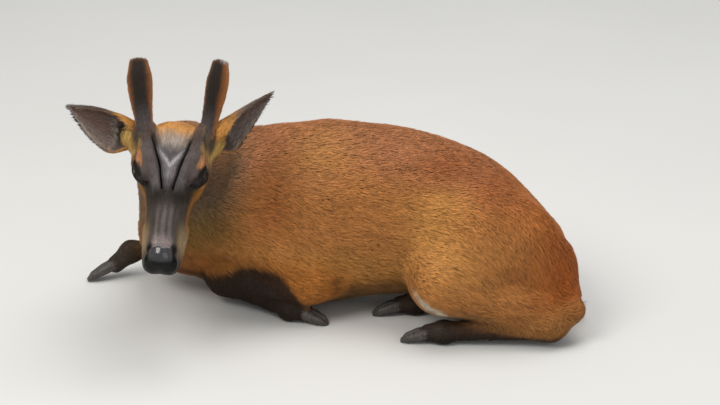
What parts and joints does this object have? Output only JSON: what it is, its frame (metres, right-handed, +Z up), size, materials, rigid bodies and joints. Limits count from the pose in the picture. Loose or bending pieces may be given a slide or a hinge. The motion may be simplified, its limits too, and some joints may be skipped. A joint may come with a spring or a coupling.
{
  "type": "muntjac, red muntjac buck, life-size still model",
  "caption": "Life-size still model of a red muntjac buck lying at rest, head turned to its left, with velvet-covered pedicles, open ears and folded legs",
  "frame": {"origin": "centre of the bounding box in plan, at the level of the floor that he lies on", "axes": "+X runs from the chest toward the rump, +Y toward the animal's right side, +Z is up; the head is turned toward -Y"},
  "size_m": [0.7474, 0.4492, 0.4041],
  "materials": {
    "coat": "short rufous hair",
    "leg_coat": "short black-brown hair",
    "face_coat": "very short dark grey-brown hair",
    "ear_coat": "thin hair over skin",
    "velvet": "fine dense velvet",
    "nose": "bare moist skin",
    "eye": "polished, dark",
    "horn": "worn horn"
  },
  "bodies": {
    "root": {"torso": "coat", "neck": "coat", "tail": "coat", "foreleg_left": "coat", "foreleg_right": "coat", "hindleg_left": "coat", "hindleg_right": "coat", "forefoot_left": "leg_coat", "forefoot_right": "leg_coat", "hindfoot_left": "leg_coat", "hindfoot_right": "leg_coat", "head": "face_coat", "ear_left": "ear_coat", "ear_right": "ear_coat", "pedicle_left": "velvet", "pedicle_right": "velvet", "nose_pad": "nose", "eye_left": "eye", "eye_right": "eye", "hoof_fore_left_inner": "horn", "hoof_fore_left_outer": "horn", "hoof_fore_right_inner": "horn", "hoof_fore_right_outer": "horn", "hoof_hind_left_inner": "horn", "hoof_hind_left_outer": "horn", "hoof_hind_right_inner": "horn", "hoof_hind_right_outer": "horn"}
  },
  "joints": []
}
